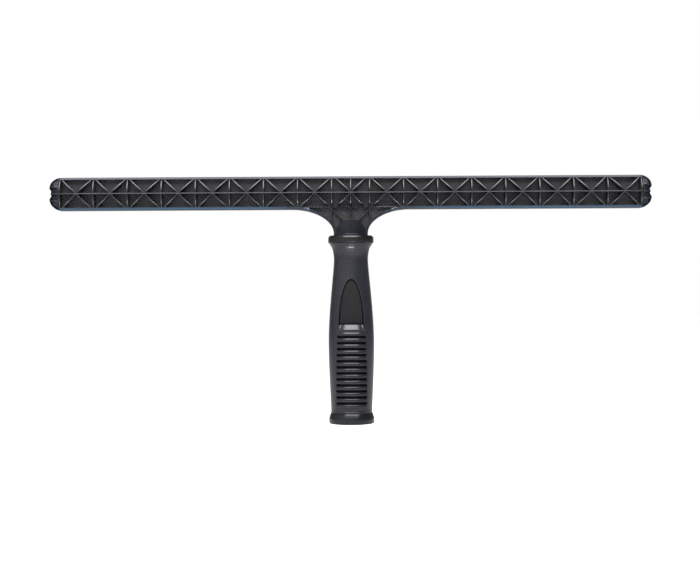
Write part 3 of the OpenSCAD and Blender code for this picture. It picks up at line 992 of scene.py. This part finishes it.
def grip_radius(z):
    """Radius of the grip at any height, through the foot, dip, swell, waist and flare."""
    if z < DIP_HEIGHT:
        t = max(0, z - FLARE_START) / (DIP_HEIGHT - FLARE_START)
        return FOOT_RADIUS + (DIP_RADIUS - FOOT_RADIUS) * (1 - math.cos(math.pi * t)) / 2
    if z < SWELL_HEIGHT:
        t = (z - DIP_HEIGHT) / (SWELL_HEIGHT - DIP_HEIGHT)
        return DIP_RADIUS + (SWELL_RADIUS - DIP_RADIUS) * math.sin(math.pi / 2 * t)
    if z < WAIST_HEIGHT:
        for (z0, r0), (z1, r1) in zip(swell_to_waist, swell_to_waist[1:]):
            if z <= z1:
                return r0 + (r1 - r0) * (z - z0) / (z1 - z0)
    up = min(1, (z - WAIST_HEIGHT) / (GRIP_TOP - WAIST_HEIGHT)) * math.sin(FLARE_TURN)
    rise = (FLARE_RADIUS - WAIST_RADIUS) / (1 - math.cos(FLARE_TURN))
    return WAIST_RADIUS + rise * (1 - math.sqrt(1 - up**2))


# Heights of the sleeve's rows of points: at the grooves and at the slopes of the ribs, then evenly
# spaced, and closer together above the waist
SKIN_SURFACE, SHADED_RECESS = 0, 1
groove_heights = [GROOVE_START + GROOVE_PITCH * i for i in range(GROOVES)]
lips = [z + edge for z in groove_heights for edge in (-GROOVE_HALF, GROOVE_HALF)]
rows = sorted(
    [*LOW_GROOVE, *HIGH_GROOVE, *lips]
    + [z - GROOVE_HALF - RIB_SLOPE for z in groove_heights]
    + [72 * MM + i * 1.5 * MM for i in range(35)]
    + [WAIST_HEIGHT + 0.7 * MM * i for i in range(14)]
)
SOFT_EDGE = 0.8 * MM
TOP_EDGE = 0.35 * MM
foot_edge_radius = grip_radius(FOOT_TOP + SOFT_EDGE)
outer = (
    rounded(foot_edge_radius - SOFT_EDGE, FOOT_TOP + SOFT_EDGE, SOFT_EDGE, -90, 0, 4)
    + [(grip_radius(z), z) for z in rows if FOOT_TOP + SOFT_EDGE < z < GRIP_TOP - TOP_EDGE]
    + rounded(FLARE_RADIUS - TOP_EDGE - 0.2 * MM, GRIP_TOP - TOP_EDGE, TOP_EDGE, 0, 90, 3)
)
inner = [
    (grip_radius(z) - SLEEVE_WALL, z)
    for z in sorted([z for z in rows[::3] if DIP_HEIGHT < z < GRIP_TOP - TOP_EDGE] + [GRIP_TOP])
]
inner = [(DIP_RADIUS - SLEEVE_WALL, z) for z in (FOOT_TOP, DIP_HEIGHT)] + inner
sleeve = ring_profile("grip", outer + inner[::-1])
turn(sleeve, COLUMNS)
sleeve.data.materials.append(bpy.data.materials.new("grip_rubber"))
sleeve.data.materials.append(bpy.data.materials.new("grip_painted_shade"))


def groove_end(z):
    """Half width of the groove at a height: the upper grooves are a little shorter."""
    return GROOVE_REACH - GROOVE_TAPER * min(1, max(0, (z - TAPER_START) / TAPER_RUN))


# The columns at 45 degrees are moved sideways to where the grooves end, and each rib's top edge
# is set back a little, so that the ribs slope
edit(sleeve)
for vertex in bmesh.from_edit_mesh(sleeve.data).verts:
    x, y, z = vertex.co
    around = math.hypot(x, y)
    aside = math.atan2(abs(x), abs(y))
    fade = min(1, max(0, (z - SHIFT_FROM) / SHIFT_RISE))
    fade *= min(1, max(0, (SHIFT_TO - z) / SHIFT_FALL))
    wanted = math.asin(groove_end(z) / grip_radius(z))
    aside += fade * (wanted - math.pi / 4) * math.sin(2 * aside)
    on_top_edge = any(abs(z - height + GROOVE_HALF) < 0.01 * MM for height in groove_heights)
    on_skin = around > grip_radius(z) - SKIN_DEPTH
    if on_top_edge and on_skin and around * math.sin(aside) < groove_end(z):
        around -= RIB_SET_BACK
    vertex.co.x = math.copysign(around * math.sin(aside), x)
    vertex.co.y = math.copysign(around * math.cos(aside), y)
bmesh.update_edit_mesh(sleeve.data)


def select_grooves(bands):
    """Select the grip's outer faces within some heights, between the ends of the grooves."""
    select_faces(
        sleeve,
        lambda f, c: any(low < c.z < high for low, high in bands)
        and abs(c.x) < groove_end(c.z)
        and math.hypot(c.x, c.y) > grip_radius(c.z) - SKIN_DEPTH
        and abs(c.y) > 5 * MM,
    )


def bevel_sharp(angle, offset, segments, low, high, radius):
    """Round the edges that turn by more than an angle, between two heights and past a radius."""
    select_edges(
        sleeve,
        lambda e: len(e.link_faces) == 2
        and e.calc_face_angle(0) > math.radians(angle)
        and all(low < v.co.z < high and math.hypot(v.co.x, v.co.y) > radius for v in e.verts),
    )
    bpy.ops.mesh.bevel(offset=offset, segments=segments, affect="EDGES", clamp_overlap=True)


# The groove floors and walls get a near-black, matt copy of the rubber: painted shade in the
# grooves.
select_grooves([(z - GROOVE_HALF, z + GROOVE_HALF) for z in groove_heights])
for face in bmesh.from_edit_mesh(sleeve.data).faces:
    face.material_index = SHADED_RECESS if face.select else SKIN_SURFACE
bpy.ops.mesh.inset(thickness=GROOVE_DRAFT, depth=-GROOVE_DEPTH, use_even_offset=True)
for face in bmesh.from_edit_mesh(sleeve.data).faces:
    beside = any(e.link_faces[0].select or e.link_faces[-1].select for e in face.edges)
    if beside and not face.select:
        face.material_index = SHADED_RECESS
bevel_sharp(40, LIP_ROUNDING, 3, low=14 * MM, high=66.5 * MM, radius=13.2 * MM)
select_grooves([LOW_GROOVE])
bpy.ops.mesh.inset(thickness=0.15 * MM, depth=-0.35 * MM, use_even_offset=True)
bevel_sharp(25, 0.14 * MM, 2, low=9.3 * MM, high=12.4 * MM, radius=14.3 * MM)
select_grooves([HIGH_GROOVE])
bpy.ops.mesh.inset(thickness=0.5 * MM, depth=-0.4 * MM, use_even_offset=True)
bevel_sharp(25, 0.25 * MM, 2, low=67.4 * MM, high=70.7 * MM, radius=14.3 * MM)
leave_edit()

WINDOW_HALF = 9.2 * MM
WINDOW_BOTTOM = 74.15 * MM
WINDOW_HEIGHT = 33.75 * MM
PLATE_SEAT = 11.3 * MM
WINDOW_LIP = 0.9 * MM
LIP_ANGLES = (0, 25, 50, 72)
LEDGE_TOP = 15.2 * MM
LEDGE_FLARE = 0.44
LEDGE_DROP = 4.4 * MM
LEDGE_ANGLE = math.radians(34)
LEDGE_FILLET = math.radians(5)
LEDGE_HOLLOW = 2.2 * MM
CUTTER_SPREAD, CUTTER_PROUD = 1.35, 1.5 * MM
CUTTER_RADIUS = 20 * MM


def solid_between(name, rings, material_index):
    """Closed solid through rings of points. Faces that touch the first ring get the material."""
    count = len(rings[0])
    around = [(i, (i + 1) % count) for i in range(count)]
    mesh = bpy.data.meshes.new(name)
    faces = [
        (k * count + i, k * count + j, (k + 1) * count + j, (k + 1) * count + i)
        for k in range(len(rings) - 1)
        for i, j in around
    ]
    last = count * (len(rings) - 1)
    faces += [tuple(range(count)), tuple(range(last, last + count))]
    mesh.from_pydata([p for ring in rings for p in ring], [], faces)
    solid = bpy.data.objects.new(name, mesh)
    bpy.context.collection.objects.link(solid)
    for material in sleeve.data.materials:
        solid.data.materials.append(material)
    for face in mesh.polygons:
        face.material_index = SKIN_SURFACE if min(face.vertices) >= count else material_index
    close_seams(solid)
    return solid


def on_surface(x, z, below):
    """Point on the front of the grip at an (x, z), or at a depth below it."""
    return (x, -math.sqrt(max(1e-12, (grip_radius(z) - below) ** 2 - x * x)), z)


def window_cutter():
    """Solid that cuts the front window down to the seat, with a rounded lip round its arch."""
    arch = [(math.cos(a), math.sin(a)) for a in arc_steps(0, 180, 44)]
    foot = [(WINDOW_HALF * (i / 6 - 1) * 0.98, WINDOW_BOTTOM) for i in range(13)]
    sides = [(WINDOW_HALF * c, WINDOW_BOTTOM + WINDOW_HEIGHT * s) for c, s in arch]
    rings = [[(x, 0.02 * MM - PLATE_SEAT, z) for x, z in sides + foot]]
    for angle in LIP_ANGLES + (90,):
        a = math.radians(angle)
        out, below = WINDOW_LIP * (1 - math.cos(a)), WINDOW_LIP * (1 - math.sin(a))
        if angle == 90:
            out, below = WINDOW_LIP * CUTTER_SPREAD, -CUTTER_PROUD
        ring = []
        for (x, z), (c, s) in zip(sides, arch):
            across = Vector((c / WINDOW_HALF, s / WINDOW_HEIGHT)).normalized() * out
            ring.append(on_surface(x + across.x, z + across.y, below))
        rings.append(ring + [on_surface(x, z, below) for x, z in foot])
    # The window's cut walls and seat take the same near-black copy of the rubber: painted shade.
    return solid_between("window_cutter", rings, SHADED_RECESS)


def ledge_cutter():
    """Solid that cuts the steep conical ledge below the window, with hollow ends."""
    top = WINDOW_BOTTOM + 0.1 * MM
    rings = []
    for i in range(41):
        angle = LEDGE_ANGLE * math.sin(math.radians(90 * (i / 20 - 1)))
        near_end = max(0, 1 - (LEDGE_ANGLE - abs(angle)) / LEDGE_FILLET)
        lift = LEDGE_HOLLOW * (1 - math.sqrt(max(0, 1 - near_end**2)))
        profile = [
            (LEDGE_TOP + lift, top),
            (LEDGE_TOP + lift + LEDGE_FLARE * LEDGE_DROP, top - LEDGE_DROP),
            (CUTTER_RADIUS, top - LEDGE_DROP),
            (CUTTER_RADIUS, top + 0.4 * MM),
            (LEDGE_TOP + lift, top + 0.4 * MM),
        ]
        rings.append([(r * math.sin(angle), -r * math.cos(angle), z) for r, z in profile])
    return solid_between("ledge_cutter", rings, SKIN_SURFACE)


for turn_round in (1, -1):
    for cutter in (window_cutter(), ledge_cutter()):
        edit(cutter)
        bpy.ops.mesh.select_all(action="SELECT")
        bpy.ops.transform.resize(value=(turn_round, turn_round, 1), center_override=(0, 0, 0))
        leave_edit()
        add_solid(sleeve, cutter, "DIFFERENCE")
close_seams(sleeve)
smooth(sleeve, 30)
moulded_plastic(
    sleeve.data.materials[SKIN_SURFACE],
    (0.0105, 0.0107, 0.0138), (0.0142, 0.0147, 0.0185), (0.21, 0.28), grain=0.05,
)
# Near-black, matt, hardly glossy copy of the rubber: painted shade in the grooves and the window.
moulded_plastic(
    sleeve.data.materials[SHADED_RECESS],
    (0.002, 0.002, 0.0024), (0.003, 0.003, 0.0036), (0.5, 0.6), grain=0.05, specular=0.1,
)
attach(sleeve, "root")
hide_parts("grip_sleeve")


# ---------------------------------------------------------------- foot ring
# A hard ring of glossy black plastic closes the foot of the handle. It flares out to the widest
# place and is what the tool stands on.

FOOT_BORE = 12.9 * MM
FOOT_ROUNDING = 1.6 * MM
RING_EDGE = 0.1 * MM
RING_FACET = 0.5 * MM
RING_TILT = 0.45

facet_bottom = FOOT_TOP - RING_EDGE - RING_FACET
ring_top = grip_radius(facet_bottom) - RING_EDGE - RING_FACET * RING_TILT
ring_heights = [FLARE_START + 0.65 * MM * i for i in range(8)]
foot = ring_profile(
    "foot",
    [(FOOT_BORE, 0)]
    + rounded(FOOT_RADIUS - FOOT_ROUNDING, FOOT_ROUNDING, FOOT_ROUNDING, -90, 0, 8)
    + [(grip_radius(z), z) for z in ring_heights if z < facet_bottom - 0.1 * MM]
    + [(ring_top + RING_EDGE + RING_FACET * RING_TILT, facet_bottom)]
    + rounded(ring_top, FOOT_TOP - RING_EDGE, RING_EDGE, 22, 90, 4)
    + [(FOOT_BORE, FOOT_TOP)],
)
turn(foot, 128)
smooth(foot)
foot.data.materials.append(bpy.data.materials.new("foot_plastic"))
moulded_plastic(
    foot.data.materials[0],
    (0.0035, 0.0045, 0.0045), (0.0052, 0.0065, 0.0065), (0.2, 0.27), grain=0.05,
)
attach(foot, "root")
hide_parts("foot_ring")


# ---------------------------------------------------------------- label plates
# A flat arched plate of matt black plastic sits in each window of the sleeve, with an open groove
# round its sides and top. Both plates are bare.

PLATE_FACE = 12.5 * MM
PLATE_HALF = 8.4 * MM
PLATE_BOTTOM = 74.7 * MM
PLATE_HEIGHT = 32.4 * MM
PLATE_EDGE = 0.3 * MM

plate_arch = [
    (PLATE_HALF * math.cos(a), PLATE_BOTTOM + PLATE_HEIGHT * math.sin(a))
    for a in arc_steps(0, 180, 48)
]
plate = flat_outline("front_plate", plate_arch, PLATE_EDGE - PLATE_FACE)
round_rim(PLATE_EDGE, 3)
select_edges(plate, lambda e: e.is_boundary)
bpy.ops.mesh.extrude_edges_move()
bpy.ops.transform.resize(value=(1, 0, 1), center_override=(0, 0, 0))
bpy.ops.transform.translate(value=(0, -PLATE_SEAT, 0))
bpy.ops.mesh.edge_face_add()
leave_edit()
close_seams(plate)
smooth(plate)
plate.data.materials.append(bpy.data.materials.new("plate_plastic"))
moulded_plastic(
    plate.data.materials[0],
    (0.0022, 0.0026, 0.0027), (0.0034, 0.0039, 0.004), (0.5, 0.6), grain=0.2, specular=0.24,
)
back_plate = turned_copy(plate, "back_plate", (-1, -1, 1))
for piece, node in ((plate, "front_label_plate"), (back_plate, "back_label_plate")):
    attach(piece, "root")
    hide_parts(node)
